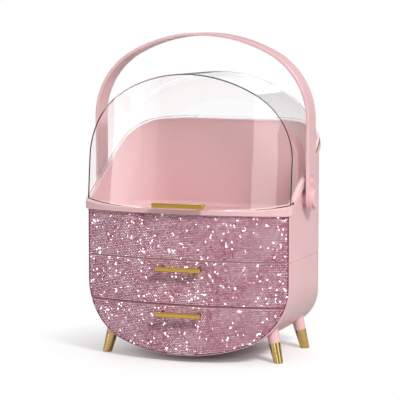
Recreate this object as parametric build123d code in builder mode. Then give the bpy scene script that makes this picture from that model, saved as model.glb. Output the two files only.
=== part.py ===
from build123d import *
import math
import os

os.makedirs("parts", exist_ok=True)

# ---------------------------------------------------------------- dimensions, mm
# Frame: X to the right, Y to the back, Z up from the floor.

# Overall body
body_width = 290.0
body_depth = 203.7
bow_depth = 24.0
rear_radius = 55.0
wall = 3.0

# Lower outline, seen from the front
ground_gap = 9.0
bottom_radius = 266.0
bottom_corner_radius = 86.0

# Heights of the fronts, from the lowest up
drawer_2_height = 67.8
drawer_1_height = 61.4
band_height = 62.2
lip_height = 6.1
seam_gap = 0.8

# Upper bin, its rim given from the top of the front lip
bin_floor_drop = 16.5
bin_floor_thickness = 3.0
bin_floor_fillet = 8.0
rim_foot_inset = 14.0
rim_foot_radius = 40.0
rim_front_inset = 28.7
rim_bend_inset = 189.7
rim_bend_rise = 107.6
rim_bend_radius = 25.0
rim_end_overrun = 4.0
rim_end_rise = 113.0
rim_step = 2.5
rim_flange_depth = 10.0
rim_lip_thickness = 3.5
flange_out = 3.5
front_lip_out = 3.0
front_lip_width = 10.0
front_lip_corner = 6.0

# Fronts: rhinestone sheet, its glue layer, and the panel behind it
sheet_thickness = 1.2
glue_layer = 0.15
panel_thickness = 2.8
sheet_end_margin = 1.0
sheet_seam_margin = 0.5

# Shelf and drawer trays
shelf_thickness = 2.5
shelf_groove = 1.0
shelf_setback = 0.5
plate_thickness = 3.0
plate_setback = 0.6
body_seam_depth = 0.5
body_seam_height = 0.6
tray_gap = 1.0
tray_wall = 2.0
tray_lift = 0.8
tray_headroom = 5.2
tray_fillet = 3.0

# Lid, seen from the front
lid_rise = 180.1
lid_top_radius = 187.5
lid_corner_radius = 103.0
lid_out = 1.2
lid_wall = 1.8
lid_lean = 0.102
lid_front_setback = 0.6
lid_seat_gap = 0.3
lid_side_gap = 0.4
lid_bead_height = 3.7
lid_front_run = 2.5

# Lid hinges at the top of the back wall
hinge_x = 62.0
hinge_out = 6.0
hinge_flange_gap = 1.4
knuckle_radius = 3.6
knuckle_gap = 0.4
body_knuckle_length = 8.0
lid_knuckle_length = 12.0
hinge_pin_radius = 1.5
hinge_pin_clearance = 0.05
lid_lug_gap = 0.5
lid_lug_root = 2.5
lid_lug_top = 0.8

# Handle
handle_flange_gap = 2.7
handle_thickness = 4.2
handle_breadth = 33.0
handle_corner_radius = 104.0
handle_top_radius = 212.0
handle_rise = 222.4
handle_edge_radius = 1.0
dimple_radius = 5.2
dimple_depth = 2.2
dimple_rise = 27.0

# Handle pivots
pivot_inset = 90.2
pivot_rise = 12.1
pin_radius = 4.0
pin_clearance = 0.05
washer_radius = 10.0
washer_side_gap = 0.3
cap_radius = 16.0
cap_thickness = 1.8
crown_radius = 12.5
crown_thickness = 4.2
crown_fillet = 1.2

# Pull bars
drawer_bar_length = 64.0
drawer_bar_height = 6.0
drawer_bar_drop = 11.3
lid_bar_length = 74.0
lid_bar_height = 6.6
lid_bar_rise = 5.7
bar_depth = 5.0
bar_proud = 12.9
bar_edge_radius = 1.4
bar_post_radius = 2.4
bar_post_inset = 7.0

# Bar screws
screw_radius = 1.5
screw_head_radius = 2.6
screw_head_thickness = 2.0
screw_bite = 6.0
screw_seat = 0.5
screw_seat_gap = 0.4

# Legs
foot_side_inset = 20.1
foot_end_inset = 41.55
leg_splay_x = 13.5
leg_splay_y = 5.5
tip_length = 27.5
tip_foot_radius = 6.2
tip_top_radius = 7.9
tip_foot_fillet = 1.2
tip_overrun = 4.0
socket_length = 50.0
socket_top_radius = 9.6
stud_radius = 2.0
stud_in_tip = 13.5
stud_in_socket = 10.5

# ---------------------------------------------------------------- derived places
overall_depth = bar_proud + body_depth + hinge_out + knuckle_radius
body_front = bar_proud - overall_depth / 2
body_back = body_front + body_depth
half_width = body_width / 2
bow_radius = (half_width**2 + bow_depth**2) / (2 * bow_depth)
bow_axis_y = body_front + bow_radius
panel_radius = bow_radius - sheet_thickness
backing_radius = panel_radius - panel_thickness
drawer_seam_z = ground_gap + drawer_2_height
cabinet_top_z = drawer_seam_z + drawer_1_height
lip_bottom_z = cabinet_top_z + band_height
lip_top_z = lip_bottom_z + lip_height
bin_floor_z = lip_top_z - bin_floor_drop
rim_front_y = body_front + rim_front_inset
rim_bend_z = lip_top_z + rim_bend_rise
rim_end_z = lip_top_z + rim_end_rise
rim_lip_setback = lid_wall - lid_out + lid_side_gap
lid_top_z = lip_top_z + lid_rise
pivot_y = body_front + pivot_inset
pivot_z = lip_top_z + pivot_rise
handle_inner_half = half_width + flange_out + handle_flange_gap
handle_half_width = handle_inner_half + handle_thickness
handle_top_z = pivot_z + handle_rise

# Centres of the lower outline's arcs, and the turn of each round corner.
corner_x = half_width - bottom_corner_radius
corner_rise = math.sqrt((bottom_radius - bottom_corner_radius) ** 2 - corner_x**2)
bottom_centre_z = ground_gap + bottom_radius
corner_z = bottom_centre_z - corner_rise
corner_turn = math.degrees(math.atan2(corner_rise, corner_x))

# Reach and overrun of cutting shapes.
far = 400.0
cut_margin = 1.0
side_overrun = 0.05


# ---------------------------------------------------------------- shared profiles
def bow_y(radius, x):
    """Y of the bowed front of the given radius at x."""
    return bow_axis_y - math.sqrt(radius**2 - x**2)


def plan_face(inset, front_radius):
    """Plan of the body: bowed front, straight sides, round rear corners."""
    half = half_width - inset
    back = body_back - inset
    radius = rear_radius - inset
    side_y = bow_y(front_radius, half)
    slant = radius * (1 - math.sqrt(0.5))
    with BuildSketch() as plan:
        with BuildLine():
            ThreePointArc((-half, side_y), (0, bow_axis_y - front_radius), (half, side_y))
            Line((half, side_y), (half, back - radius))
            ThreePointArc((half, back - radius), (half - slant, back - slant), (half - radius, back))
            Line((half - radius, back), (radius - half, back))
            ThreePointArc((radius - half, back), (slant - half, back - slant), (-half, back - radius))
            Line((-half, back - radius), (-half, side_y))
        make_face()
    return plan.sketch


def front_zone_face(half, radius):
    """Plan of everything in front of the bow of the given radius."""
    side_y = bow_y(radius, half)
    with BuildSketch() as zone:
        with BuildLine():
            ThreePointArc((-half, side_y), (0, bow_axis_y - radius), (half, side_y))
            Polyline((half, side_y), (half, -far), (-half, -far), (-half, side_y))
        make_face()
    return zone.sketch


def straight_plan_face(inset):
    """Plan of the body without its front, its sides a hair outside the body's own."""
    half = half_width - inset + side_overrun
    back = body_back - inset
    radius = rear_radius - inset
    with BuildSketch() as plan:
        with BuildLine():
            Polyline((half, back - radius), (half, -far), (-half, -far), (-half, back - radius))
            CenterArc((radius - half, back - radius), radius, 180, -90)
            Line((radius - half, back), (half - radius, back))
            CenterArc((half - radius, back - radius), radius, 90, -90)
        make_face()
    return plan.sketch


def strip_face(half, outer_radius, inner_radius):
    """Plan of a bowed strip between two radii."""
    outer_y = bow_y(outer_radius, half)
    inner_y = bow_y(inner_radius, half)
    with BuildSketch() as strip:
        with BuildLine():
            ThreePointArc((-half, outer_y), (0, bow_axis_y - outer_radius), (half, outer_y))
            Line((half, outer_y), (half, inner_y))
            ThreePointArc((half, inner_y), (0, bow_axis_y - inner_radius), (-half, inner_y))
            Line((-half, inner_y), (-half, outer_y))
        make_face()
    return strip.sketch


def outline_face(inset, top_z):
    """Front view of the lower body: straight sides, round corners, shallow bottom arc."""
    half = half_width - inset
    radius = bottom_corner_radius - inset
    turn = corner_turn
    with BuildSketch() as outline:
        with BuildLine():
            CenterArc((-corner_x, corner_z), radius, 180, turn)
            CenterArc((0, bottom_centre_z), bottom_radius - inset, 180 + turn, 180 - 2 * turn)
            CenterArc((corner_x, corner_z), radius, 360 - turn, turn)
            Polyline((half, corner_z), (half, far), (-half, far), (-half, corner_z))
        make_face()
        with Locations((0, top_z)):
            Rectangle(2 * far, far, align=(Align.CENTER, Align.MAX), mode=Mode.INTERSECT)
    return outline.sketch


def arch_face(half, corner_radius, top_radius, top_z, base_z):
    """Front view of an arch: straight sides, round shoulders, shallow top arc."""
    shoulder_x = half - corner_radius
    rise = math.sqrt((top_radius - corner_radius) ** 2 - shoulder_x**2)
    centre_z = top_z - top_radius
    shoulder_z = centre_z + rise
    turn = math.degrees(math.atan2(rise, shoulder_x))
    with BuildSketch() as arch:
        with BuildLine():
            CenterArc((shoulder_x, shoulder_z), corner_radius, 0, turn)
            CenterArc((0, centre_z), top_radius, turn, 180 - 2 * turn)
            CenterArc((-shoulder_x, shoulder_z), corner_radius, 180 - turn, turn)
            Polyline((-half, shoulder_z), (-half, base_z), (half, base_z), (half, shoulder_z))
        make_face()
    return arch.sketch


def above_rim_face(lift):
    """Side view of everything above the rim line, moved up by lift."""
    foot = (body_front + rim_foot_inset, lip_top_z + lift)
    bend = (body_front + rim_bend_inset, rim_bend_z + lift)
    end = (body_back + rim_end_overrun, rim_end_z + lift)
    with BuildSketch() as region:
        with BuildLine():
            FilletPolyline((-far, foot[1]), foot, bend, radius=rim_foot_radius)
            Polyline(bend, end, (far, end[1]), (far, 2 * far), (-far, 2 * far), (-far, foot[1]))
        make_face()
        fillet(region.vertices().sort_by_distance(bend)[0], radius=rim_bend_radius)
    return region.sketch


def dome_part(offset, base_z):
    """Arched form of the bin and lid, its rear edge rounded, grown by offset."""
    nominal_out = offset - lid_out
    profile = arch_face(
        half_width + offset,
        lid_corner_radius + nominal_out,
        lid_top_radius + nominal_out,
        lid_top_z + nominal_out,
        base_z,
    )
    with BuildPart() as form:
        with BuildSketch(Plane.XZ.offset(-(body_back + offset))):
            add(profile)
        extrude(amount=far)
        rear = form.faces().sort_by(Axis.Y)[-1]
        fillet(rear.edges().sort_by(Axis.Z)[1:], radius=rear_radius + offset)
    return form.part


def body_part(inset, front_radius, top_z):
    """Lower body drawn in by inset, with the given bow as its front, up to top_z."""
    with BuildPart() as form:
        with BuildSketch(Plane.XY):
            add(straight_plan_face(inset))
        extrude(amount=top_z)
        with BuildSketch(Plane.XZ):
            add(outline_face(inset, top_z))
        extrude(amount=far, both=True, mode=Mode.INTERSECT)
        with BuildSketch(Plane.XY):
            add(front_zone_face(half_width + cut_margin, front_radius))
        extrude(amount=far, mode=Mode.SUBTRACT)
    return form.part


def front_strip_part(inset, outer_radius, inner_radius, low_z, high_z):
    """Bowed strip between two radii and two heights, its ends trimmed to the body's outline."""
    with BuildPart() as strip:
        with BuildSketch(Plane.XZ):
            add(outline_face(inset, high_z))
        extrude(amount=far)
        with BuildSketch(Plane.XY.offset(low_z)):
            add(strip_face(half_width + cut_margin, outer_radius, inner_radius))
        extrude(amount=high_z - low_z, mode=Mode.INTERSECT)
    return strip.part


above_rim = above_rim_face(0)
above_step = above_rim_face(-rim_step)
above_flange = above_rim_face(-rim_flange_depth)
dome_outer = dome_part(0, cabinet_top_z)
dome_inner = dome_part(-wall, bin_floor_z)
dome_flange = dome_part(flange_out, cabinet_top_z)
dome_rim_outer = dome_part(-rim_lip_setback, lip_bottom_z)
dome_rim_inner = dome_part(-rim_lip_setback - rim_lip_thickness, bin_floor_z + bin_floor_fillet)

# ---------------------------------------------------------------- upper bin
bin_wall_radius = backing_radius - wall
lip_inner_radius = bow_radius + front_lip_out - front_lip_width
hinge_y = body_back + hinge_out
hinge_z = rim_end_z - rim_flange_depth - hinge_flange_gap - knuckle_radius
lug_offset = (lid_knuckle_length + body_knuckle_length) / 2 + knuckle_gap

with BuildPart() as bin_well:
    add(dome_inner)
    with BuildSketch(Plane.XY):
        add(front_zone_face(half_width, lip_inner_radius))
    extrude(amount=far, mode=Mode.SUBTRACT)
    fillet(bin_well.faces().sort_by(Axis.Z)[0].edges(), radius=bin_floor_fillet)
    with BuildSketch(Plane.YZ):
        add(above_step)
    extrude(amount=far, both=True, mode=Mode.SUBTRACT)

with BuildPart() as rim_well:
    add(dome_rim_inner)
    with BuildSketch(Plane.XY):
        add(front_zone_face(half_width, lip_inner_radius))
    extrude(amount=far, mode=Mode.SUBTRACT)

with BuildPart() as rim_lip:
    add(dome_rim_outer)
    with BuildSketch(Plane.YZ):
        add(above_rim)
    extrude(amount=far, both=True, mode=Mode.SUBTRACT)
    with BuildSketch(Plane.XY):
        add(front_zone_face(half_width + cut_margin, bow_radius))
    extrude(amount=far, mode=Mode.SUBTRACT)

with BuildPart() as rim_flange:
    add(dome_flange)
    with BuildSketch(Plane.YZ):
        add(above_step)
    extrude(amount=far, both=True, mode=Mode.SUBTRACT)
    with BuildSketch(Plane.YZ):
        add(above_flange)
    extrude(amount=far, both=True, mode=Mode.INTERSECT)
    with Locations((0, rim_front_y, 0)):
        Box(far * 2, far, far * 3, align=(Align.CENTER, Align.MAX, Align.CENTER), mode=Mode.SUBTRACT)

with BuildPart() as front_lip:
    with BuildSketch(Plane.XY.offset(lip_bottom_z)) as front_lip_plan:
        add(plan_face(-flange_out, bow_radius + front_lip_out))
        fillet(front_lip_plan.vertices().sort_by(Axis.Y)[:2], radius=front_lip_corner)
    extrude(amount=rim_bend_z - lip_bottom_z)
    with Locations((0, rim_front_y, lip_bottom_z)):
        Box(far * 2, far, far * 2, align=(Align.CENTER, Align.MIN, Align.CENTER), mode=Mode.SUBTRACT)
    with BuildSketch(Plane.YZ):
        add(above_rim)
    extrude(amount=far, both=True, mode=Mode.SUBTRACT)
    with BuildSketch(Plane.YZ):
        add(above_flange)
    extrude(amount=far, both=True, mode=Mode.INTERSECT)

with BuildPart() as upper_bin:
    add(dome_outer)
    with BuildSketch(Plane.YZ):
        add(above_step)
    extrude(amount=far, both=True, mode=Mode.SUBTRACT)
    with BuildSketch(Plane.XY):
        add(front_zone_face(half_width + cut_margin, bow_radius))
    extrude(amount=far, mode=Mode.SUBTRACT)
    # Room for the front band.
    with BuildSketch(Plane.XY):
        add(front_zone_face(half_width + cut_margin, backing_radius))
    extrude(amount=lip_bottom_z, mode=Mode.SUBTRACT)
    add(rim_lip.part)
    add(rim_flange.part)
    add(front_lip.part)
    add(bin_well.part, mode=Mode.SUBTRACT)
    add(rim_well.part, mode=Mode.SUBTRACT)
    # Closed space under the bin floor.
    with BuildSketch(Plane.XY.offset(cabinet_top_z)):
        add(plan_face(wall, bin_wall_radius))
    extrude(amount=bin_floor_z - bin_floor_thickness - cabinet_top_z, mode=Mode.SUBTRACT)
    # Pivot pin holes.
    with BuildSketch(Plane.YZ):
        with Locations((pivot_y, pivot_z)):
            Circle(pin_radius)
    extrude(amount=far, both=True, mode=Mode.SUBTRACT)
    # Hinge lugs on the back wall.
    for side in (-1, 1):
        for end in (-1, 1):
            with BuildSketch(Plane.YZ.offset(side * hinge_x + end * lug_offset)):
                with BuildLine():
                    Polyline(
                        (hinge_y + knuckle_radius, hinge_z),
                        (body_back - wall / 2, hinge_z - hinge_out - 2 * knuckle_radius),
                        (body_back - wall / 2, hinge_z + knuckle_radius),
                        (hinge_y, hinge_z + knuckle_radius),
                    )
                    CenterArc((hinge_y, hinge_z), knuckle_radius, 0, 90)
                make_face()
            extrude(amount=body_knuckle_length / 2, both=True)
    with BuildSketch(Plane.YZ):
        with Locations((hinge_y, hinge_z)):
            Circle(hinge_pin_radius)
    extrude(amount=far, both=True, mode=Mode.SUBTRACT)
upper_bin.part.label = "upper_bin"
export_step(upper_bin.part, "parts/upper_bin.step")

# ---------------------------------------------------------------- lower cabinet
plate_radius = backing_radius - plate_setback
shelf_radius = plate_radius - shelf_setback
shelf_z = drawer_seam_z - shelf_thickness / 2
open_front_radius = bow_radius + bow_depth

with BuildPart() as drawer_shelf:
    add(body_part(wall - shelf_groove, shelf_radius, shelf_z + shelf_thickness))
    with Locations((0, 0, shelf_z)):
        Box(2 * far, 2 * far, far, align=(Align.CENTER, Align.CENTER, Align.MAX), mode=Mode.SUBTRACT)
drawer_shelf.part.label = "drawer_shelf"
export_step(drawer_shelf.part, "parts/drawer_shelf.step")

cabinet_form = body_part(0, plate_radius, cabinet_top_z)

with BuildPart() as lower_cabinet:
    add(cabinet_form)
    add(body_part(wall, open_front_radius, cabinet_top_z - plate_thickness), mode=Mode.SUBTRACT)
    add(drawer_shelf.part, mode=Mode.SUBTRACT)
    # Fine step around the top edge, the seam under the upper bin.
    with BuildSketch(Plane.XY.offset(cabinet_top_z - body_seam_height)):
        add(plan_face(-cut_margin, bow_radius + cut_margin))
        add(plan_face(body_seam_depth, bow_radius), mode=Mode.SUBTRACT)
    extrude(amount=body_seam_height, mode=Mode.SUBTRACT)
lower_cabinet.part.label = "lower_cabinet"
export_step(lower_cabinet.part, "parts/lower_cabinet.step")

# ---------------------------------------------------------------- fixed band above the drawers
sheet_half = half_width - sheet_end_margin
sheet_back_radius = panel_radius + glue_layer
band_bottom_z = cabinet_top_z + seam_gap / 2
band_sheet_height = lip_bottom_z - band_bottom_z - 2 * sheet_seam_margin

with BuildPart() as band_panel:
    with BuildSketch(Plane.XY.offset(band_bottom_z)):
        add(strip_face(half_width, panel_radius, backing_radius))
    extrude(amount=lip_bottom_z - band_bottom_z)
band_panel.part.label = "band_panel"
export_step(band_panel.part, "parts/band_panel.step")

with BuildPart() as band_rhinestones:
    with BuildSketch(Plane.XY.offset(band_bottom_z + sheet_seam_margin)):
        add(strip_face(sheet_half, bow_radius, sheet_back_radius))
    extrude(amount=band_sheet_height)
band_rhinestones.part.label = "band_rhinestones"
export_step(band_rhinestones.part, "parts/band_rhinestones.step")

# ---------------------------------------------------------------- pull bars and their screws
bar_front_y = body_front - bar_proud
post_reach = bar_proud + bow_depth
tray_front_radius = backing_radius - tray_wall


def bar_and_screws(length, height, bar_z, seat_radius):
    """Bar with two posts cut to the bow, and the two screws that hold it."""
    post_x = length / 2 - bar_post_inset
    surface_y = bow_y(bow_radius, post_x)
    seat_y = bow_y(seat_radius, post_x) - screw_seat
    with BuildPart() as screws:
        for x in (-post_x, post_x):
            with BuildSketch(Plane.XZ.offset(-seat_y)):
                with Locations((x, bar_z)):
                    Circle(screw_head_radius)
            extrude(amount=-screw_head_thickness)
            with BuildSketch(Plane.XZ.offset(-seat_y)):
                with Locations((x, bar_z)):
                    Circle(screw_radius)
            extrude(amount=seat_y - surface_y + screw_bite)
    with BuildPart() as bar:
        with Locations((0, bar_front_y + bar_depth / 2, bar_z)):
            Box(length, bar_depth, height)
        fillet(bar.edges(), radius=bar_edge_radius)
        with BuildSketch(Plane.XZ.offset(-bar_front_y - bar_depth / 2)):
            with Locations((-post_x, bar_z), (post_x, bar_z)):
                Circle(bar_post_radius)
        extrude(amount=-post_reach)
        with BuildSketch(Plane.XY):
            with Locations((0, bow_axis_y)):
                Circle(bow_radius)
        extrude(amount=far, mode=Mode.SUBTRACT)
        add(screws.part, mode=Mode.SUBTRACT)
    return bar.part, screws.part


def screw_clearance(length, bar_z, seat_radius):
    """Room for the two screws and their flat seats in a tray's front wall."""
    post_x = length / 2 - bar_post_inset
    seat_y = bow_y(seat_radius, post_x) - screw_seat
    with BuildPart() as room:
        for x in (-post_x, post_x):
            with BuildSketch(Plane.XZ.offset(-seat_y)):
                with Locations((x, bar_z)):
                    Circle(screw_head_radius + screw_seat_gap)
            extrude(amount=-screw_head_thickness)
            with BuildSketch(Plane.XZ.offset(-seat_y)):
                with Locations((x, bar_z)):
                    Circle(screw_radius)
            extrude(amount=post_reach)
    return room.part


# ---------------------------------------------------------------- drawer 1, upper
drawer_1_bottom_z = drawer_seam_z + seam_gap / 2
drawer_1_top_z = cabinet_top_z - seam_gap / 2
bar_1_z = cabinet_top_z - drawer_bar_drop
tray_inset = wall + tray_gap
tray_well_inset = tray_inset + tray_wall
tray_1_z = shelf_z + shelf_thickness + tray_lift
tray_1_top_z = cabinet_top_z - plate_thickness - tray_headroom
# Its straight sides stay inside the round corners at the height of its floor.
tray_corner_drop = max(corner_z - tray_1_z, 0)
tray_1_half = corner_x + math.sqrt((bottom_corner_radius - tray_inset) ** 2 - tray_corner_drop**2)
tray_1_inset = half_width - tray_1_half

bar_1, screws_1 = bar_and_screws(drawer_bar_length, drawer_bar_height, bar_1_z, tray_front_radius)
room_1 = screw_clearance(drawer_bar_length, bar_1_z, tray_front_radius)

with BuildPart() as drawer_1_well:
    with BuildSketch(Plane.XY.offset(tray_1_z + tray_wall)):
        add(plan_face(tray_1_inset + tray_wall, tray_front_radius))
    extrude(amount=tray_1_top_z - tray_1_z)
    fillet(drawer_1_well.faces().sort_by(Axis.Z)[0].edges(), radius=tray_fillet)

with BuildPart() as drawer_1_tray:
    with BuildSketch(Plane.XY.offset(tray_1_z)):
        add(plan_face(tray_1_inset, backing_radius))
    extrude(amount=tray_1_top_z - tray_1_z)
    add(drawer_1_well.part, mode=Mode.SUBTRACT)
    add(room_1, mode=Mode.SUBTRACT)
drawer_1_tray.part.label = "drawer_1_tray"
export_step(drawer_1_tray.part, "parts/drawer_1_tray.step")

with BuildPart() as drawer_1_front:
    add(front_strip_part(0, panel_radius, backing_radius, drawer_1_bottom_z, drawer_1_top_z))
    add(screws_1, mode=Mode.SUBTRACT)
drawer_1_front.part.label = "drawer_1_front"
export_step(drawer_1_front.part, "parts/drawer_1_front.step")

with BuildPart() as drawer_1_rhinestones:
    low_z = drawer_1_bottom_z + sheet_seam_margin
    high_z = drawer_1_top_z - sheet_seam_margin
    add(front_strip_part(sheet_end_margin, bow_radius, sheet_back_radius, low_z, high_z))
    add(screws_1, mode=Mode.SUBTRACT)
drawer_1_rhinestones.part.label = "drawer_1_rhinestones"
export_step(drawer_1_rhinestones.part, "parts/drawer_1_rhinestones.step")

bar_1.label = "drawer_1_bar"
export_step(bar_1, "parts/drawer_1_bar.step")
screws_1.label = "drawer_1_bar_screws"
export_step(screws_1, "parts/drawer_1_bar_screws.step")

# ---------------------------------------------------------------- drawer 2, lower
drawer_2_top_z = drawer_seam_z - seam_gap / 2
bar_2_z = drawer_seam_z - drawer_bar_drop
tray_2_top_z = shelf_z - tray_headroom

bar_2, screws_2 = bar_and_screws(drawer_bar_length, drawer_bar_height, bar_2_z, tray_front_radius)
room_2 = screw_clearance(drawer_bar_length, bar_2_z, tray_front_radius)

with BuildPart() as drawer_2_tray:
    add(body_part(tray_inset, backing_radius, tray_2_top_z))
    add(body_part(tray_well_inset, tray_front_radius, shelf_z), mode=Mode.SUBTRACT)
    add(room_2, mode=Mode.SUBTRACT)
drawer_2_tray.part.label = "drawer_2_tray"
export_step(drawer_2_tray.part, "parts/drawer_2_tray.step")

with BuildPart() as drawer_2_front:
    add(front_strip_part(0, panel_radius, backing_radius, 0, drawer_2_top_z))
    add(screws_2, mode=Mode.SUBTRACT)
drawer_2_front.part.label = "drawer_2_front"
export_step(drawer_2_front.part, "parts/drawer_2_front.step")

with BuildPart() as drawer_2_rhinestones:
    high_z = drawer_2_top_z - sheet_seam_margin
    add(front_strip_part(sheet_end_margin, bow_radius, sheet_back_radius, 0, high_z))
    add(screws_2, mode=Mode.SUBTRACT)
drawer_2_rhinestones.part.label = "drawer_2_rhinestones"
export_step(drawer_2_rhinestones.part, "parts/drawer_2_rhinestones.step")

bar_2.label = "drawer_2_bar"
export_step(bar_2, "parts/drawer_2_bar.step")
screws_2.label = "drawer_2_bar_screws"
export_step(screws_2, "parts/drawer_2_bar_screws.step")

# ---------------------------------------------------------------- clear lid
lid_edge_lift = lid_seat_gap - rim_step
lid_base_z = lip_bottom_z
lid_bar_z = lip_top_z + lid_bar_rise
lid_lean_margin = 20.0


def lean_part(setback):
    """Everything behind the bowed lid front, which leans back as it rises."""
    half = half_width + lid_lean_margin
    bow = bow_radius - math.sqrt(bow_radius**2 - half**2)
    with BuildPart() as block:
        for z in (lid_base_z - cut_margin, lid_top_z + lid_lean_margin):
            apex = body_front + setback + lid_lean * (z - lip_bottom_z)
            with BuildSketch(Plane.XY.offset(z)):
                with BuildLine():
                    ThreePointArc((-half, apex + bow), (0, apex), (half, apex + bow))
                    Polyline((half, apex + bow), (half, far), (-half, far), (-half, apex + bow))
                make_face()
        loft(ruled=True)
    return block.part


lean_outer = lean_part(lid_front_setback)
lean_inner = lean_part(lid_front_setback + lid_wall)
dome_lid_outer = dome_part(lid_out, lid_base_z)
dome_lid_inner = dome_part(lid_out - lid_wall, lid_base_z - cut_margin)

with BuildPart() as lid_hollow:
    add(dome_lid_inner)
    add(lean_inner, mode=Mode.INTERSECT)

with BuildPart() as lid_bead:
    add(dome_flange)
    with BuildSketch(Plane.YZ):
        add(above_rim_face(lid_edge_lift + lid_bead_height))
    extrude(amount=far, both=True, mode=Mode.SUBTRACT)
    with Locations((0, rim_front_y + lid_front_run, 0)):
        Box(far * 2, far, far * 3, align=(Align.CENTER, Align.MAX, Align.CENTER), mode=Mode.SUBTRACT)

with BuildPart() as lid_cover:
    add(dome_lid_outer)
    add(lean_outer, mode=Mode.INTERSECT)
    add(lid_bead.part)
    add(lid_hollow.part, mode=Mode.SUBTRACT)
    with BuildSketch(Plane.YZ):
        add(above_rim_face(lid_edge_lift))
    extrude(amount=far, both=True, mode=Mode.INTERSECT)
    with BuildSketch(Plane.YZ):
        with Locations((rim_front_y + lid_front_run, 0)):
            Rectangle(far, 3 * far, align=(Align.MAX, Align.CENTER))
        add(above_rim_face(lid_seat_gap), mode=Mode.SUBTRACT)
    extrude(amount=far, both=True, mode=Mode.SUBTRACT)
    # Hinge knuckles behind the bead.
    lug_front_y = body_back + flange_out + lid_lug_gap
    lug_root_y = body_back + lid_lug_root
    lug_root_z = rim_end_z + lid_edge_lift + lid_seat_gap
    lug_top_z = rim_end_z + lid_lug_top
    for x in (-hinge_x, hinge_x):
        with BuildSketch(Plane.YZ.offset(x)):
            with BuildLine():
                Polyline(
                    (lug_front_y, hinge_z),
                    (lug_front_y, lug_root_z),
                    (lug_root_y, lug_root_z),
                    (lug_root_y, lug_top_z),
                    (hinge_y, lug_top_z),
                    (hinge_y + knuckle_radius, hinge_z),
                    (lug_front_y, hinge_z),
                )
            make_face()
            with Locations((hinge_y, hinge_z)):
                Circle(knuckle_radius)
                Circle(hinge_pin_radius + hinge_pin_clearance, mode=Mode.SUBTRACT)
        extrude(amount=lid_knuckle_length / 2, both=True)
    # Holes for the bar screws.
    lid_post_x = lid_bar_length / 2 - bar_post_inset
    with BuildSketch(Plane.XZ.offset(-rim_front_y)):
        with Locations((-lid_post_x, lid_bar_z), (lid_post_x, lid_bar_z)):
            Circle(screw_radius)
    extrude(amount=far, mode=Mode.SUBTRACT)
lid_cover.part.label = "lid_cover"
export_step(lid_cover.part, "parts/lid_cover.step")

lid_surface_y = (
    body_front
    + lid_front_setback
    + lid_lean * (lid_bar_z - lip_bottom_z)
    + bow_radius
    - math.sqrt(bow_radius**2 - lid_post_x**2)
)

with BuildPart() as lid_bar_screws:
    for x in (-lid_post_x, lid_post_x):
        with BuildSketch(Plane.XZ.offset(-lid_surface_y - lid_wall / 2)):
            with Locations((x, lid_bar_z)):
                Circle(screw_head_radius)
        extrude(amount=-screw_head_thickness - lid_wall / 2)
    add(lid_cover.part, mode=Mode.SUBTRACT)
    for x in (-lid_post_x, lid_post_x):
        with BuildSketch(Plane.XZ.offset(-lid_surface_y - lid_wall)):
            with Locations((x, lid_bar_z)):
                Circle(screw_radius)
        extrude(amount=lid_wall + screw_bite)
lid_bar_screws.part.label = "lid_bar_screws"
export_step(lid_bar_screws.part, "parts/lid_bar_screws.step")

with BuildPart() as lid_bar:
    with Locations((0, bar_front_y + bar_depth / 2, lid_bar_z)):
        Box(lid_bar_length, bar_depth, lid_bar_height)
    fillet(lid_bar.edges(), radius=bar_edge_radius)
    with BuildSketch(Plane.XZ.offset(-bar_front_y - bar_depth / 2)):
        with Locations((-lid_post_x, lid_bar_z), (lid_post_x, lid_bar_z)):
            Circle(bar_post_radius)
    extrude(amount=-post_reach)
    add(lean_outer, mode=Mode.SUBTRACT)
    add(lid_bar_screws.part, mode=Mode.SUBTRACT)
lid_bar.part.label = "lid_bar"
export_step(lid_bar.part, "parts/lid_bar.step")

# ---------------------------------------------------------------- hinge pins
hinge_span = lid_knuckle_length + 2 * knuckle_gap + 2 * body_knuckle_length

with BuildPart() as hinge_pins:
    for x in (-hinge_x, hinge_x):
        with BuildSketch(Plane.YZ.offset(x)):
            with Locations((hinge_y, hinge_z)):
                Circle(hinge_pin_radius)
        extrude(amount=hinge_span / 2, both=True)
hinge_pins.part.label = "hinge_pins"
export_step(hinge_pins.part, "parts/hinge_pins.step")

# ---------------------------------------------------------------- handle
handle_base_z = pivot_z - handle_breadth


def handle_arch_face(inset):
    """Front view of the handle's arch, drawn in by inset."""
    return arch_face(
        handle_half_width - inset,
        handle_corner_radius - inset,
        handle_top_radius - inset,
        handle_top_z - inset,
        handle_base_z,
    )


with BuildPart() as handle_strap:
    with BuildSketch(Plane.XZ.offset(-pivot_y)):
        add(handle_arch_face(0))
        add(handle_arch_face(handle_thickness), mode=Mode.SUBTRACT)
    extrude(amount=handle_breadth / 2, both=True)
    with BuildSketch(Plane.YZ):
        with Locations((pivot_y, pivot_z)):
            Circle(handle_breadth / 2)
            Rectangle(handle_breadth, far, align=(Align.CENTER, Align.MIN))
    extrude(amount=far, both=True, mode=Mode.INTERSECT)
    side_edges = handle_strap.faces().filter_by(Axis.Y).edges()
    fillet(side_edges.filter_by(Axis.X, reverse=True), radius=handle_edge_radius)
    with BuildSketch(Plane.YZ):
        with Locations((pivot_y, pivot_z)):
            Circle(pin_radius + pin_clearance)
    extrude(amount=far, both=True, mode=Mode.SUBTRACT)
    for side in (-1, 1):
        with Locations((side * handle_half_width, pivot_y, pivot_z + dimple_rise)):
            Cylinder(dimple_radius, 2 * dimple_depth, rotation=(0, 90, 0), mode=Mode.SUBTRACT)
handle_strap.part.label = "handle_strap"
export_step(handle_strap.part, "parts/handle_strap.step")

# ---------------------------------------------------------------- handle pivots
cap_x = handle_half_width + washer_side_gap

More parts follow.
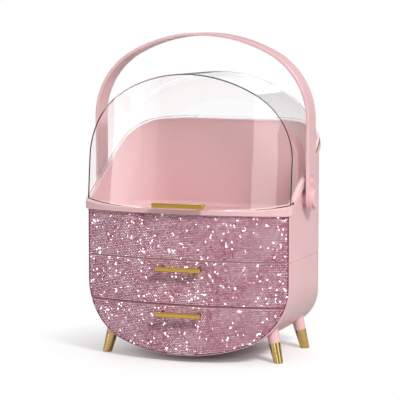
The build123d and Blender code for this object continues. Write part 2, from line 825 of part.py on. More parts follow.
with BuildPart() as pivot_pin_right:
    with BuildSketch(Plane.YZ.offset(half_width - wall)):
        with Locations((pivot_y, pivot_z)):
            Circle(pin_radius)
    extrude(amount=cap_x - half_width + wall)
    with BuildSketch(Plane.YZ.offset(cap_x)):
        with Locations((pivot_y, pivot_z)):
            Circle(cap_radius)
    extrude(amount=cap_thickness)
    with BuildSketch(Plane.YZ.offset(cap_x + cap_thickness)):
        with Locations((pivot_y, pivot_z)):
            Circle(crown_radius)
    extrude(amount=crown_thickness)
    fillet(pivot_pin_right.faces().sort_by(Axis.X)[-1].edges(), radius=crown_fillet)
pivot_pin_right.part.label = "pivot_pin_right"
export_step(pivot_pin_right.part, "parts/pivot_pin_right.step")

with BuildPart() as pivot_pin_left:
    add(pivot_pin_right.part)
    mirror(about=Plane.YZ, mode=Mode.REPLACE)
pivot_pin_left.part.label = "pivot_pin_left"
export_step(pivot_pin_left.part, "parts/pivot_pin_left.step")

with BuildPart() as pivot_washers:
    for side in (-1, 1):
        with BuildSketch(Plane.YZ.offset(side * half_width)):
            with Locations((pivot_y, pivot_z)):
                Circle(washer_radius)
                Circle(pin_radius, mode=Mode.SUBTRACT)
        extrude(amount=side * (handle_inner_half - washer_side_gap - half_width))
pivot_washers.part.label = "pivot_washers"
export_step(pivot_washers.part, "parts/pivot_washers.step")

# ---------------------------------------------------------------- legs
body_middle_y = (body_front + body_back) / 2
lean_x = math.tan(math.radians(leg_splay_x))
lean_y = math.tan(math.radians(leg_splay_y))
tip_taper = (tip_top_radius - tip_foot_radius) / tip_length


def leg_plane(side, end):
    """Plane at a foot, its normal up along the splayed leg."""
    foot_y = body_middle_y + end * (body_depth / 2 - foot_end_inset)
    origin = (side * (half_width - foot_side_inset), foot_y, 0)
    return Plane(origin=origin, z_dir=(-side * lean_x, -end * lean_y, 1))


def leg_parts(side, end):
    """Tip and socket of one leg."""
    foot = leg_plane(side, end)
    with BuildPart() as stud:
        with BuildSketch(foot.offset(tip_length - stud_in_tip)):
            Circle(stud_radius)
        extrude(amount=stud_in_tip + stud_in_socket)
    with BuildPart() as tip:
        with BuildSketch(foot.offset(-tip_overrun)):
            Circle(tip_foot_radius - tip_overrun * tip_taper)
        with BuildSketch(foot.offset(tip_length)):
            Circle(tip_top_radius)
        loft(ruled=True)
        split(bisect_by=Plane.XY, keep=Keep.TOP)
        fillet(tip.faces().sort_by(Axis.Z)[0].edges(), radius=tip_foot_fillet)
        add(stud.part, mode=Mode.SUBTRACT)
    with BuildPart() as socket:
        with BuildSketch(foot.offset(tip_length)):
            Circle(tip_top_radius)
        with BuildSketch(foot.offset(tip_length + socket_length)):
            Circle(socket_top_radius)
        loft(ruled=True)
        add(cabinet_form, mode=Mode.SUBTRACT)
        add(stud.part, mode=Mode.SUBTRACT)
    return tip.part, socket.part, stud.part


tip_fl, socket_fl, stud_fl = leg_parts(-1, -1)
tip_fr, socket_fr, stud_fr = leg_parts(1, -1)
tip_rl, socket_rl, stud_rl = leg_parts(-1, 1)
tip_rr, socket_rr, stud_rr = leg_parts(1, 1)

tip_fl.label = "leg_tip_front_left"
export_step(tip_fl, "parts/leg_tip_front_left.step")
tip_fr.label = "leg_tip_front_right"
export_step(tip_fr, "parts/leg_tip_front_right.step")
tip_rl.label = "leg_tip_rear_left"
export_step(tip_rl, "parts/leg_tip_rear_left.step")
tip_rr.label = "leg_tip_rear_right"
export_step(tip_rr, "parts/leg_tip_rear_right.step")

socket_fl.label = "leg_socket_front_left"
export_step(socket_fl, "parts/leg_socket_front_left.step")
socket_fr.label = "leg_socket_front_right"
export_step(socket_fr, "parts/leg_socket_front_right.step")
socket_rl.label = "leg_socket_rear_left"
export_step(socket_rl, "parts/leg_socket_rear_left.step")
socket_rr.label = "leg_socket_rear_right"
export_step(socket_rr, "parts/leg_socket_rear_right.step")

with BuildPart() as leg_studs:
    add(stud_fl)
    add(stud_fr)
    add(stud_rl)
    add(stud_rr)
leg_studs.part.label = "leg_studs"
export_step(leg_studs.part, "parts/leg_studs.step")
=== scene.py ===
import math

import bmesh
import bpy
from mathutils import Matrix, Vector
from mathutils.bvhtree import BVHTree


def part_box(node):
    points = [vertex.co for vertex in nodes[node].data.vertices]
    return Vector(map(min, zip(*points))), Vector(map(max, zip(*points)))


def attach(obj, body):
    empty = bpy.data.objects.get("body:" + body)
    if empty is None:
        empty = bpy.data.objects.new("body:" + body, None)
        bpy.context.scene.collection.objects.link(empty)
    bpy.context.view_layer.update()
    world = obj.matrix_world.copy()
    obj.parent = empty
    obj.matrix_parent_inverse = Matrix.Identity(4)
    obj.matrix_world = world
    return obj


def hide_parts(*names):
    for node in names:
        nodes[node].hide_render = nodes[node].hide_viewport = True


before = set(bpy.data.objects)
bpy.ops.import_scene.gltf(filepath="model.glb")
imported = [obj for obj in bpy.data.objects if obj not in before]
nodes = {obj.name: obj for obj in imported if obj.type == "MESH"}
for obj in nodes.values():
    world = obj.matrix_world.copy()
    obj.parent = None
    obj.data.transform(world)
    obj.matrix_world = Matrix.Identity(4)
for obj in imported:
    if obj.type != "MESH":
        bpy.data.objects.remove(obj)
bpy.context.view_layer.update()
scene = bpy.context.scene
MM = 0.001

# ---------------------------------------------------------------- driving sizes, metres
BOW_RADIUS = 450.0 * MM          # plan radius of the fronts
BOW_TOLERANCE = 0.2 * MM         # a corner this near the bow lies on the front's face
MERGE_DISTANCE = 0.001 * MM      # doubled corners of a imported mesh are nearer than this
STONE_PITCH = 2.6 * MM           # spacing of the stones in a row
ROW_STEP = STONE_PITCH * math.sqrt(3) / 2
STONE_RADIUS = 1.12 * MM
STONE_HEIGHT = 0.7 * MM
STONE_SIDES = 6
STONE_TILT = math.radians(9)     # how unevenly the stones are glued down
TIER_RADIUS_SHARE = 0.8          # where the two tiers of facets meet, of the stone's radius
TIER_HEIGHT_SHARE = 0.55         # the same, of the stone's height
TABLE_SHARE = 0.45               # the flat top, of the stone's radius
POST_CLEARANCE = 3.6 * MM        # bare ring round each post of a pull bar
POST_INSET = 7.0 * MM            # post centre from the end of its bar
PROBE_START = 50.0 * MM          # how far ahead of a sheet the search for its face starts
FACING_LIMIT = -0.5              # a face whose normal has a larger y is an edge, not the front

# ---------------------------------------------------------------- driving looks
WHITE = "#FFFFFF"
NOISE_LOW = 0.3                  # most values of a noise lie between these two
NOISE_HIGH = 0.7
LAMP_SHARE = 0.50                # share of a lamp's light that passes each face of the lid
FACET_SHARE = 0.70               # how much of a facet's tone is its own, and not its stone's
TONE_DRIFT = 0.10                # how far the tone drifts over a sheet, each way
PAINTED_GLINT_STRENGTH = 6.0             # painted glint: light a facet gives off in place of mirroring a lamp to the eye


# ---------------------------------------------------------------- small helpers
def linear(hex_colour):
    """An sRGB hex colour as linear RGBA."""
    channels = [int(hex_colour[i:i + 2], 16) / 255 for i in (1, 3, 5)]
    return [c / 12.92 if c <= 0.04045 else ((c + 0.055) / 1.055) ** 2.4 for c in channels] + [1.0]


def add_node(tree, kind, inputs=None, stops=(), **settings):
    """A node with its settings and links.

    An input is a value, a socket to link, or a node whose first output is linked. The stops of a colour
    ramp are pairs of a position and a hex colour.
    """
    node = tree.nodes.new(kind)
    for name, value in settings.items():
        setattr(node, name, value)
    for name, value in (inputs or {}).items():
        if isinstance(value, bpy.types.Node):
            value = value.outputs[0]
        if isinstance(value, bpy.types.NodeSocket):
            tree.links.new(value, node.inputs[name])
        else:
            node.inputs[name].default_value = value
    if stops:
        elements = node.color_ramp.elements
        while len(elements) < len(stops):
            elements.new(0.5)
        for element, (position, colour) in zip(elements, stops):
            element.position = position
            element.color = linear(colour)
    return node


def make_material(name, build, *details):
    """A material whose surface is the shader that build makes in its tree."""
    material = bpy.data.materials.new(name)
    material.use_nodes = True
    tree = material.node_tree
    tree.nodes.clear()
    add_node(tree, "ShaderNodeOutputMaterial", {"Surface": build(tree, *details)})
    return material


# ---------------------------------------------------------------- materials
def moulded_abs(tree):
    """Pink ABS from a spark-eroded mould: even colour, soft gloss, faint fine grain."""
    cloud_size = 70 * MM
    gloss_size = 25 * MM
    # The real grain is about 0.3 mm. It is drawn coarser, so that it doesn't turn to speckle.
    grain_size = 8 * MM
    place = add_node(tree, "ShaderNodeTexCoord").outputs["Object"]
    cloud = add_node(tree, "ShaderNodeTexNoise", {"Vector": place, "Scale": 1 / cloud_size, "Detail": 2.0})
    colour = add_node(
        tree,
        "ShaderNodeValToRGB",
        {"Fac": cloud},
        stops=[(NOISE_LOW, "#E3B8BA"), (NOISE_HIGH, "#E6BBBD")],
    )
    patch = add_node(tree, "ShaderNodeTexNoise", {"Vector": place, "Scale": 1 / gloss_size, "Detail": 2.0})
    roughness = add_node(
        tree,
        "ShaderNodeMapRange",
        {"Value": patch, "From Min": NOISE_LOW, "From Max": NOISE_HIGH, "To Min": 0.28, "To Max": 0.34},
    )
    grain = add_node(tree, "ShaderNodeTexNoise", {"Vector": place, "Scale": 1 / grain_size, "Detail": 0.0})
    relief = add_node(tree, "ShaderNodeBump", {"Height": grain, "Distance": 0.02 * MM, "Strength": 0.1})
    return add_node(
        tree,
        "ShaderNodeBsdfPrincipled",
        {"Base Color": colour, "Roughness": roughness, "IOR": 1.53, "Normal": relief},
    )


def clear_acrylic(tree):
    """Polished clear acrylic: colourless, with a sharp mirror gloss."""
    glass = add_node(
        tree,
        "ShaderNodeBsdfPrincipled",
        {"Base Color": linear(WHITE), "Roughness": 0.0, "IOR": 1.49, "Transmission Weight": 1.0},
    )
    # A refracting shader casts a full shadow, so a share of each lamp's light goes straight through.
    straight = add_node(tree, "ShaderNodeBsdfTransparent", {"Color": linear(WHITE)})
    shadow = add_node(tree, "ShaderNodeLightPath").outputs["Is Shadow Ray"]
    share = add_node(tree, "ShaderNodeMath", {0: shadow, 1: LAMP_SHARE}, operation="MULTIPLY")
    return add_node(tree, "ShaderNodeMixShader", {0: share, 1: glass, 2: straight})


def plated_gold(tree, dark, pale):
    """Gold-plated zinc, polished: clean mirror colour with faint wipe marks along X."""
    mark_width = 6 * MM
    mark_stretch = (0.1, 1, 1)   # ten times as long as wide
    place = add_node(tree, "ShaderNodeTexCoord").outputs["Object"]
    along = add_node(tree, "ShaderNodeMapping", {"Vector": place, "Scale": mark_stretch})
    wiping = add_node(tree, "ShaderNodeTexNoise", {"Vector": along, "Scale": 1 / mark_width, "Detail": 1.0})
    colour = add_node(
        tree, "ShaderNodeValToRGB", {"Fac": wiping}, stops=[(NOISE_LOW, dark), (NOISE_HIGH, pale)]
    )
    roughness = add_node(
        tree,
        "ShaderNodeMapRange",
        {"Value": wiping, "From Min": NOISE_LOW, "From Max": NOISE_HIGH, "To Min": 0.17, "To Max": 0.21},
    )
    return add_node(
        tree,
        "ShaderNodeBsdfPrincipled",
        {"Base Color": colour, "Metallic": 1.0, "Roughness": roughness},
    )


def turned_steel(tree):
    """Plain turned steel of screws and pins: grey and half glossy, with a fine uneven grain."""
    grain_size = 0.4 * MM
    place = add_node(tree, "ShaderNodeTexCoord").outputs["Object"]
    grain = add_node(tree, "ShaderNodeTexNoise", {"Vector": place, "Scale": 1 / grain_size, "Detail": 2.0})
    colour = add_node(
        tree,
        "ShaderNodeValToRGB",
        {"Fac": grain},
        stops=[(NOISE_LOW, "#A9A9AD"), (NOISE_HIGH, "#BDBDC0")],
    )
    roughness = add_node(
        tree,
        "ShaderNodeMapRange",
        {"Value": grain, "From Min": NOISE_LOW, "From Max": NOISE_HIGH, "To Min": 0.28, "To Max": 0.38},
    )
    return add_node(
        tree,
        "ShaderNodeBsdfPrincipled",
        {"Base Color": colour, "Metallic": 1.0, "Roughness": roughness},
    )


def stone_backing_painted_shade(tree):
    """Glued pink net behind the stones: matt, its colour darkened to mauve as painted shade between the
    stones.
    """
    net_pitch = 1.2 * MM
    place = add_node(tree, "ShaderNodeTexCoord").outputs["Object"]
    net = add_node(tree, "ShaderNodeTexNoise", {"Vector": place, "Scale": 1 / net_pitch, "Detail": 2.0})
    # The dark mauve is partly the net's own colour and partly painted shade in the gaps between the stones.
    colour = add_node(
        tree,
        "ShaderNodeValToRGB",
        {"Fac": net},
        stops=[(NOISE_LOW, "#6A2A42"), (NOISE_HIGH, "#843F58")],
    )
    relief = add_node(tree, "ShaderNodeBump", {"Height": net, "Distance": 0.05 * MM, "Strength": 0.5})
    return add_node(
        tree, "ShaderNodeBsdfPrincipled", {"Base Color": colour, "Roughness": 0.6, "Normal": relief}
    )


def facet_colour(tree, place, facet, stone):
    """Tone of a facet: partly its own, partly its stone's, and drifting slowly over the sheet."""
    drift_size = 30 * MM
    own = add_node(tree, "ShaderNodeMath", {0: facet, 1: FACET_SHARE}, operation="MULTIPLY")
    common = add_node(tree, "ShaderNodeMath", {0: stone, 1: 1 - FACET_SHARE}, operation="MULTIPLY")
    both = add_node(tree, "ShaderNodeMath", {0: common, 1: own}, operation="ADD")
    slow = add_node(tree, "ShaderNodeTexNoise", {"Vector": place, "Scale": 1 / drift_size, "Detail": 2.0})
    drift = add_node(
        tree,
        "ShaderNodeMapRange",
        {
            "Value": slow,
            "From Min": NOISE_LOW,
            "From Max": NOISE_HIGH,
            "To Min": -TONE_DRIFT,
            "To Max": TONE_DRIFT,
        },
    )
    tone = add_node(tree, "ShaderNodeMath", {0: both, 1: drift}, operation="ADD")
    return add_node(
        tree,
        "ShaderNodeValToRGB",
        {"Fac": tone},
        stops=[
            (0.14, "#9A4660"),
            (0.34, "#D68CA2"),
            (0.50, "#F2BECA"),
            (0.66, "#F4D2DC"),
            (0.82, "#FFF4F8"),
            (0.95, WHITE),
        ],
    )


def painted_glint_light(tree, place, facet, stone):
    """Strength of the painted glint, light a facet gives off in place of a lamp's reflection: on single
    stones, and on small knots of them.
    """
    patch_size = 22 * MM
    knot_size = 6 * MM
    knot_threshold = 0.75
    dull_stones = 0.35           # share of the stones in a knot that stay dull
    patch = add_node(tree, "ShaderNodeTexNoise", {"Vector": place, "Scale": 1 / patch_size, "Detail": 2.0})
    # From 3 in 1000 stones glint outside the patches to 55 in 1000 inside them.
    threshold = add_node(
        tree,
        "ShaderNodeMapRange",
        {"Value": patch, "From Min": 0.44, "From Max": 0.68, "To Min": 0.997, "To Max": 0.945},
    )
    single = add_node(tree, "ShaderNodeMath", {0: stone, 1: threshold}, operation="GREATER_THAN")
    lump = add_node(tree, "ShaderNodeTexNoise", {"Vector": place, "Scale": 1 / knot_size, "Detail": 0.0})
    inside = add_node(tree, "ShaderNodeMath", {0: lump, 1: knot_threshold}, operation="GREATER_THAN")
    bright = add_node(tree, "ShaderNodeMath", {0: stone, 1: dull_stones}, operation="GREATER_THAN")
    knot = add_node(tree, "ShaderNodeMath", {0: inside, 1: bright}, operation="MULTIPLY")
    glint = add_node(tree, "ShaderNodeMath", {0: single, 1: knot}, operation="MAXIMUM")
    turned = add_node(tree, "ShaderNodeMath", {0: facet, 1: 2.0}, operation="POWER")
    light = add_node(tree, "ShaderNodeMath", {0: turned, 1: PAINTED_GLINT_STRENGTH}, operation="MULTIPLY")
    return add_node(tree, "ShaderNodeMath", {0: glint, 1: light}, operation="MULTIPLY")


def foiled_resin_stone(tree):
    """Foil-backed resin stones: facets go from mauve to white, and some carry a painted glint, light given
    off in place of a lamp's reflection.
    """
    glint_colour_patch_size = 9 * MM
    place = add_node(tree, "ShaderNodeTexCoord").outputs["Object"]
    facet = add_node(tree, "ShaderNodeAttribute", attribute_name="facet_value").outputs["Fac"]
    stone = add_node(tree, "ShaderNodeAttribute", attribute_name="stone_value").outputs["Fac"]
    area = add_node(tree, "ShaderNodeTexNoise", {"Vector": place, "Scale": 1 / glint_colour_patch_size, "Detail": 2.0})
    glint_colour = add_node(
        tree,
        "ShaderNodeValToRGB",
        {"Fac": area},
        stops=[
            (0.0, WHITE),
            (0.38, "#FFF2F8"),
            (0.52, WHITE),
            (0.72, "#EBDDFF"),
            (0.85, "#DDEBFF"),
            (0.93, WHITE),
        ],
    )
    glint_colour.color_ramp.interpolation = "CONSTANT"
    return add_node(
        tree,
        "ShaderNodeBsdfPrincipled",
        {
            "Base Color": facet_colour(tree, place, facet, stone),
            "Metallic": 0.15,
            "Roughness": 0.15,
            "IOR": 1.56,
            "Coat Weight": 1.0,
            "Coat Roughness": 0.02,
            # The emission is a painted glint: the stones give off light in place of mirroring a lamp.
            "Emission Color": glint_colour,
            "Emission Strength": painted_glint_light(tree, place, facet, stone),
        },
    )


PINK = make_material("moulded_pink_abs", moulded_abs)
ACRYLIC = make_material("clear_acrylic", clear_acrylic)
BAR_GOLD = make_material("plated_gold_bar", plated_gold, "#E8BE5C", "#F0C968")
TIP_GOLD = make_material("plated_gold_tip", plated_gold, "#E9C67C", "#F0D088")
STEEL = make_material("turned_steel", turned_steel)
PAINTED_SHADE_BACKING = make_material("pink_net_backing_painted_shade", stone_backing_painted_shade)
STONE = make_material("foiled_resin_stone", foiled_resin_stone)


def finish_cad_nodes():
    """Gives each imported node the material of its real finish."""
    for name, item in nodes.items():
        if name == "lid_cover":
            material = ACRYLIC
        elif name.endswith("_bar") or name == "lid_bar_screws":
            material = BAR_GOLD
        elif name.startswith("leg_tip"):
            material = TIP_GOLD
        elif name.endswith("screws") or name in ("hinge_pins", "leg_studs"):
            material = STEEL
        else:
            material = PINK
        item.data.materials.clear()
        item.data.materials.append(material)


# ---------------------------------------------------------------- rhinestone sheets
def stone_tier(tree, given, wide, narrow, tall, base, ends):
    """One ring of a stone's facets, its sizes given as shares of the stone's radius and height."""
    bottom, top, depth, lift = [
        add_node(tree, "ShaderNodeMath", {0: given[size], 1: share}, operation="MULTIPLY")
        for size, share in (
            ("Stone radius", wide),
            ("Stone radius", narrow),
            ("Stone height", tall),
            ("Stone height", base),
        )
    ]
    cone = add_node(
        tree,
        "GeometryNodeMeshCone",
        {"Vertices": given["Sides"], "Radius Bottom": bottom, "Radius Top": top, "Depth": depth},
        fill_type=ends,
    )
    raised = add_node(tree, "ShaderNodeCombineXYZ", {"Z": lift})
    return add_node(tree, "GeometryNodeTransform", {"Geometry": cone, "Translation": raised})


def cut_stone(tree, given):
    """A stone with two tiers of facets under its flat top."""
    stone = add_node(tree, "GeometryNodeJoinGeometry")
    lower = stone_tier(tree, given, 1.0, TIER_RADIUS_SHARE, TIER_HEIGHT_SHARE, 0.0, "NONE")
    tree.links.new(lower.outputs[0], stone.inputs[0])
    upper = stone_tier(
        tree, given, TIER_RADIUS_SHARE, TABLE_SHARE, 1 - TIER_HEIGHT_SHARE, TIER_HEIGHT_SHARE, "NGON"
    )
    tree.links.new(upper.outputs[0], stone.inputs[0])
    return stone


def stone_turn(tree, given):
    """Rotation of each stone: square to its facing, then leaned a little and spun at random."""
    facing = add_node(tree, "GeometryNodeInputNamedAttribute", {"Name": "facing"}, data_type="FLOAT_VECTOR")
    upright = add_node(tree, "FunctionNodeAlignRotationToVector", {"Vector": facing}, axis="Z")
    back = add_node(tree, "ShaderNodeMath", {0: given["Tilt"], 1: -1.0}, operation="MULTIPLY")
    least = add_node(tree, "ShaderNodeCombineXYZ", {"X": back, "Y": back})
    most = add_node(tree, "ShaderNodeCombineXYZ", {"X": given["Tilt"], "Y": given["Tilt"], "Z": math.pi})
    lean = add_node(
        tree,
        "FunctionNodeRandomValue",
        {0: least, 1: most, "Seed": given["Seed"]},
        data_type="FLOAT_VECTOR",
    )
    turn = add_node(tree, "FunctionNodeEulerToRotation", {"Euler": lean})
    return add_node(
        tree,
        "FunctionNodeRotateRotation",
        {"Rotation": upright, "Rotate By": turn},
        rotation_space="LOCAL",
    )


def random_attribute(tree, given, geometry, name, domain):
    """The geometry with a random value from 0 to 1 stored on each instance or face."""
    # Inputs 2 and 3 are the least and the most of a random number, and output 1 is the number.
    chance = add_node(
        tree, "FunctionNodeRandomValue", {2: 0.0, 3: 1.0, "Seed": given["Seed"]}, data_type="FLOAT"
    )
    return add_node(
        tree,
        "GeometryNodeStoreNamedAttribute",
        {"Geometry": geometry, "Name": name, "Value": chance.outputs[1]},
        data_type="FLOAT",
        domain=domain,
    )


def stone_setting_tree():
    """Geometry nodes: a cut stone on every marked point, over the backing sheet."""
    tree = bpy.data.node_groups.new("stone_setting", "GeometryNodeTree")
    sockets = [
        ("Geometry", "NodeSocketGeometry", None),
        ("Stone radius", "NodeSocketFloat", STONE_RADIUS),
        ("Stone height", "NodeSocketFloat", STONE_HEIGHT),
        ("Sides", "NodeSocketInt", STONE_SIDES),
        ("Tilt", "NodeSocketFloat", STONE_TILT),
        ("Seed", "NodeSocketInt", 1),
        ("Stone material", "NodeSocketMaterial", None),
    ]
    for name, kind, value in sockets:
        socket = tree.interface.new_socket(name, in_out="INPUT", socket_type=kind)
        if value is not None:
            socket.default_value = value
    tree.interface.new_socket("Geometry", in_out="OUTPUT", socket_type="NodeSocketGeometry")
    given = add_node(tree, "NodeGroupInput").outputs

    marked = add_node(tree, "GeometryNodeInputNamedAttribute", {"Name": "stone_spot"}, data_type="BOOLEAN")
    parts = add_node(
        tree, "GeometryNodeSeparateGeometry", {"Geometry": given["Geometry"], "Selection": marked}
    )
    set_stones = add_node(
        tree,
        "GeometryNodeInstanceOnPoints",
        {
            "Points": parts.outputs["Selection"],
            "Instance": cut_stone(tree, given),
            "Rotation": stone_turn(tree, given),
        },
    )
    valued = random_attribute(tree, given, set_stones, "stone_value", "INSTANCE")
    realized = add_node(tree, "GeometryNodeRealizeInstances", {"Geometry": valued})
    faceted = random_attribute(tree, given, realized, "facet_value", "FACE")
    flat = add_node(tree, "GeometryNodeSetShadeSmooth", {"Geometry": faceted, "Shade Smooth": False})
    finished = add_node(
        tree, "GeometryNodeSetMaterial", {"Geometry": flat, "Material": given["Stone material"]}
    )
    whole = add_node(tree, "GeometryNodeJoinGeometry")
    tree.links.new(finished.outputs["Geometry"], whole.inputs[0])
    tree.links.new(parts.outputs["Inverted"], whole.inputs[0])
    add_node(tree, "NodeGroupOutput", {"Geometry": whole})
    return tree


def merged_copy(name):
    """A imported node's mesh as a bmesh with its doubled corners merged."""
    mesh = bmesh.new()
    mesh.from_mesh(nodes[name].data)
    bmesh.ops.remove_doubles(mesh, verts=mesh.verts, dist=MERGE_DISTANCE)
    return mesh


def bar_posts(bar):
    """Places, as x and z, of a pull bar's two posts."""
    low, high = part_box(bar)
    middle = (low.z + high.z) / 2
    return [(low.x + POST_INSET, middle), (high.x - POST_INSET, middle)]


def stone_spots(name, posts):
    """Places and facings of the stones on a sheet's bowed face, in staggered rows."""
    surface = merged_copy(name)
    tree = BVHTree.FromBMesh(surface)
    surface.free()
    low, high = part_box(name)

    def face_at(x, z):
        return tree.ray_cast(Vector((x, low.y - PROBE_START, z)), Vector((0, 1, 0)))

    corner_angles = [2 * math.pi * k / STONE_SIDES for k in range(STONE_SIDES)]
    corners = [(STONE_RADIUS * math.cos(a), STONE_RADIUS * math.sin(a)) for a in corner_angles]
    rows = int((high.z - low.z - 2 * STONE_RADIUS) / ROW_STEP) + 1
    span = int(high.x / STONE_PITCH) + 2
    spots = []
    for row in range(rows):
        z = high.z - STONE_RADIUS - row * ROW_STEP
        shift = STONE_PITCH / 2 if row % 2 else 0.0
        for column in range(-span, span + 1):
            x = BOW_RADIUS * math.sin((column * STONE_PITCH + shift) / BOW_RADIUS)
            if any(math.hypot(x - px, z - pz) < POST_CLEARANCE for px, pz in posts):
                continue
            place, normal, _, distance = face_at(x, z)
            if place is None or normal.y > FACING_LIMIT:
                continue
            # The whole stone has to lie on the face.
            near = [face_at(x + dx, z + dz) for dx, dz in corners]
            if any(p is None or abs(d - distance) > STONE_RADIUS for p, _, _, d in near):
                continue
            spots.append((place, Vector((x / BOW_RADIUS, -1, 0)).normalized()))
    return spots


def backing_mesh(name, spots):
    """The sheet's backing, set back by the stones' height, and a marked point for each stone."""
    sheet = merged_copy(name)
    for face in sheet.faces:
        face.smooth = False
    axis_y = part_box(name)[0].y + BOW_RADIUS
    for vertex in sheet.verts:
        out = math.hypot(vertex.co.x, vertex.co.y - axis_y)
        if abs(out - BOW_RADIUS) < BOW_TOLERANCE:
            vertex.co.y += STONE_HEIGHT
    mesh = bpy.data.meshes.new(name + "_stones")
    sheet.to_mesh(mesh)
    sheet.free()
    mesh.materials.append(PAINTED_SHADE_BACKING)
    first = len(mesh.vertices)
    mesh.vertices.add(len(spots))
    mesh.attributes.new("stone_spot", "BOOLEAN", "POINT")
    mesh.attributes.new("facing", "FLOAT_VECTOR", "POINT")
    # Both are looked up once both exist, because making an attribute moves the ones before it.
    marks = mesh.attributes["stone_spot"]
    facings = mesh.attributes["facing"]
    for index, (place, facing) in enumerate(spots, start=first):
        mesh.vertices[index].co = place - facing * STONE_HEIGHT
        marks.data[index].value = True
        facings.data[index].vector = facing
    return mesh


def set_in_stones(piece, tree, seed):
    """Runs the stone setting on a piece, and leaves its result as a plain mesh."""
    setting = piece.modifiers.new("stones", "NODES")
    setting.node_group = tree
    wanted = {
        "Stone radius": STONE_RADIUS,
        "Stone height": STONE_HEIGHT,
        "Sides": STONE_SIDES,
        "Tilt": STONE_TILT,
        "Seed": seed,
        "Stone material": STONE,
    }
    for item in tree.interface.items_tree:
        if item.in_out == "INPUT" and item.name in wanted:
            setting[item.identifier] = wanted[item.name]
    depsgraph = bpy.context.evaluated_depsgraph_get()
    result = bpy.data.meshes.new_from_object(piece.evaluated_get(depsgraph))
    piece.modifiers.clear()
    piece.data = result
    for attribute in ("stone_spot", "facing"):
        if attribute in result.attributes:
            result.attributes.remove(result.attributes[attribute])
    # The result can bring empty material slots.
    for slot in reversed(range(len(result.materials))):
        if result.materials[slot] is None:
            result.materials.pop(index=slot)


def stone_sheet(name, body, bar, tree, seed):
    """Backing sheet with its stones, in place of a packed sheet."""
    spots = stone_spots(name, bar_posts(bar) if bar else [])
    piece = bpy.data.objects.new(name + "_stones", backing_mesh(name, spots))
    scene.collection.objects.link(piece)
    set_in_stones(piece, tree, seed)
    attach(piece, body)
    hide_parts(name)


# ---------------------------------------------------------------- floor, light and camera
TARGET = Vector((-2.864, -17.5, 211.52)) * MM
CAMERA_PLACE = Vector((845.7, -2289.0, 458.6)) * MM
CAMERA_REACH = 100.0             # metres
LENS = 159.49                    # millimetres, on a sensor of the width below
SENSOR = 36.0
FLOOR_HALF = 12.0                # metres
FADE_START = 0.06                # metres from the object's middle, where the floor starts to whiten
FADE_END = 0.28                  # and where it is white
FILL_STRENGTH = 0.44             # of the light from all round; 1 is white
CARD_DISTANCE = 3.0              # metres from the object's middle
CARD_HEIGHT = 2.2
CLEAR_BOUNCES = 24               # enough for light to cross the lid's faces several times
GLOSSY_BOUNCES = 12


def photo_camera():
    """Camera at the photograph's place and angle."""
    data = bpy.data.cameras.new("camera")
    data.lens = LENS
    data.sensor_width = SENSOR
    data.clip_end = CAMERA_REACH
    camera = bpy.data.objects.new("camera", data)
    camera.location = CAMERA_PLACE
    camera.rotation_euler = (TARGET - CAMERA_PLACE).to_track_quat("-Z", "Y").to_euler()
    scene.collection.objects.link(camera)
    scene.camera = camera


def soft_light(name, place, size, power):
    """A square soft box that faces the object."""
    data = bpy.data.lights.new(name, "AREA")
    data.size = size
    data.energy = power
    light = bpy.data.objects.new(name, data)
    light.location = place
    light.rotation_euler = (TARGET - Vector(place)).to_track_quat("-Z", "Y").to_euler()
    scene.collection.objects.link(light)
    return light


def studio_world():
    """Even fill light; white to the camera and through clear parts, a dim room to gloss."""
    world = bpy.data.worlds.new("studio")
    scene.world = world
    world.use_nodes = True
    tree = world.node_tree
    tree.nodes.clear()
    path = add_node(tree, "ShaderNodeLightPath").outputs
    straight = add_node(
        tree,
        "ShaderNodeMath",
        {0: path["Is Camera Ray"], 1: path["Is Transmission Ray"]},
        operation="MAXIMUM",
    )
    # A ray that matt plastic has scattered gets the fill alone, or the bin under the lid overexposes.
    unscattered = add_node(
        tree, "ShaderNodeMath", {0: path["Diffuse Depth"], 1: 0.5}, operation="LESS_THAN"
    )
    seen = add_node(tree, "ShaderNodeMath", {0: straight, 1: unscattered}, operation="MULTIPLY")
    fill = add_node(tree, "ShaderNodeBackground", {"Color": linear(WHITE), "Strength": FILL_STRENGTH})
    white = add_node(tree, "ShaderNodeBackground", {"Color": linear(WHITE), "Strength": 1.0})
    # Gloss sees a dim room near the horizon and a pale ceiling.
    ray = add_node(tree, "ShaderNodeTexCoord").outputs["Generated"]
    height = add_node(tree, "ShaderNodeSeparateXYZ", {"Vector": ray}).outputs["Z"]
    room = add_node(
        tree,
        "ShaderNodeValToRGB",
        {"Fac": height},
        stops=[(0.0, "#6A6869"), (0.42, "#7C7A7B"), (0.62, "#C4C2C3"), (1.0, "#DAD8D9")],
    )
    mirrored = add_node(tree, "ShaderNodeBackground", {"Color": room, "Strength": 1.0})
    around = add_node(tree, "ShaderNodeMixShader", {0: path["Is Glossy Ray"], 1: fill, 2: mirrored})
    mixed = add_node(tree, "ShaderNodeMixShader", {0: seen, 1: around, 2: white})
    add_node(tree, "ShaderNodeOutputWorld", {"Surface": mixed})


def stage_plane(name, corners, material):
    """A flat piece of the studio through four corners."""
    mesh = bpy.data.meshes.new(name)
    mesh.from_pydata(corners, [], [(0, 1, 2, 3)])
    mesh.materials.append(material)
    plane = bpy.data.objects.new(name, mesh)
    scene.collection.objects.link(plane)
    return plane


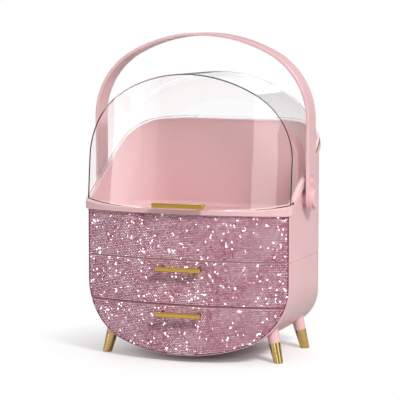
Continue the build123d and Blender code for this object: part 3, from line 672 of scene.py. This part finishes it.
def pale_floor(tree):
    """Matt floor that keeps the shadow near the object, and fades to white away from it."""
    place = add_node(tree, "ShaderNodeTexCoord").outputs["Object"]
    away = add_node(tree, "ShaderNodeVectorMath", {0: place}, operation="LENGTH").outputs["Value"]
    fade = add_node(
        tree, "ShaderNodeMapRange", {"Value": away, "From Min": FADE_START, "From Max": FADE_END}
    )
    path = add_node(tree, "ShaderNodeLightPath").outputs
    seen = add_node(
        tree,
        "ShaderNodeMath",
        {0: path["Is Camera Ray"], 1: path["Is Transmission Ray"]},
        operation="MAXIMUM",
    )
    share = add_node(tree, "ShaderNodeMath", {0: seen, 1: fade}, operation="MULTIPLY")
    # The object gets less light back from the floor than the camera sees. Inputs 6 and 7 are the colours.
    tone = add_node(
        tree,
        "ShaderNodeMix",
        {"Factor": path["Is Camera Ray"], 6: linear("#C4C4C4"), 7: linear("#FCFCFC")},
        data_type="RGBA",
    )
    matt = add_node(tree, "ShaderNodeBsdfDiffuse", {"Color": tone.outputs[2]})
    white = add_node(tree, "ShaderNodeEmission", {"Color": linear(WHITE), "Strength": 1.0})
    return add_node(tree, "ShaderNodeMixShader", {0: share, 1: matt, 2: white})


def studio_floor():
    """The floor that the object stands on."""
    corners = [
        (-FLOOR_HALF, -FLOOR_HALF, 0),
        (FLOOR_HALF, -FLOOR_HALF, 0),
        (FLOOR_HALF, FLOOR_HALF, 0),
        (-FLOOR_HALF, FLOOR_HALF, 0),
    ]
    floor = stage_plane("floor", corners, make_material("pale_floor", pale_floor))


def card_glow(tree):
    """White light as strong as the card's own attribute says."""
    level = add_node(tree, "ShaderNodeAttribute", attribute_name="strength").outputs["Fac"]
    return add_node(tree, "ShaderNodeEmission", {"Color": linear(WHITE), "Strength": level})


def studio_card(name, azimuth, width, near, far):
    """An upright card seen only in reflections, its light going from near to far along its width."""
    turn = math.radians(azimuth)
    along = Vector((math.cos(turn), math.sin(turn), 0))
    centre = Vector((math.sin(turn), -math.cos(turn), 0)) * CARD_DISTANCE
    up = Vector((0, 0, CARD_HEIGHT))
    left = centre - along * width / 2
    right = centre + along * width / 2
    card = stage_plane(name, [left, right, right + up, left + up], make_material(name, card_glow))
    strength = card.data.attributes.new("strength", "FLOAT", "POINT")
    for index, value in enumerate((near, far, far, near)):
        strength.data[index].value = value
    card.visible_camera = False
    card.visible_diffuse = False
    card.visible_transmission = False
    card.visible_shadow = False


# ---------------------------------------------------------------- making
photo_camera()
studio_world()
studio_floor()
soft_light("key_light", place=(1.68, -1.52, 1.98), size=0.5, power=62)
soft_light("right_fill", place=(2.5, -0.7, 0.8), size=1.4, power=7)
soft_light("left_fill", place=(-2.2, -1.6, 1.1), size=1.6, power=4)
top_light = soft_light("top_light", place=(0.1, 0.3, 2.4), size=1.4, power=6)
back_light = soft_light("back_light", place=(-0.9, 2.4, 1.2), size=1.4, power=14)
# The lid would mirror these two as white patches.
top_light.visible_glossy = False
back_light.visible_glossy = False
studio_card("left_card", azimuth=-41, width=1.05, near=5.6, far=0.8)
studio_card("front_card", azimuth=12, width=0.5, near=3.8, far=3.8)
studio_card("left_flag", azimuth=-78, width=0.4, near=0.2, far=0.2)
studio_card("right_flag", azimuth=60, width=0.5, near=0.3, far=0.3)

finish_cad_nodes()
setting_tree = stone_setting_tree()
stone_sheet("band_rhinestones", "case", None, setting_tree, 1)
stone_sheet("drawer_1_rhinestones", "drawer_1", "drawer_1_bar", setting_tree, 2)
stone_sheet("drawer_2_rhinestones", "drawer_2", "drawer_2_bar", setting_tree, 3)

scene.cycles.max_bounces = CLEAR_BOUNCES
scene.cycles.transmission_bounces = CLEAR_BOUNCES
scene.cycles.glossy_bounces = GLOSSY_BOUNCES
scene.view_settings.view_transform = "Standard"
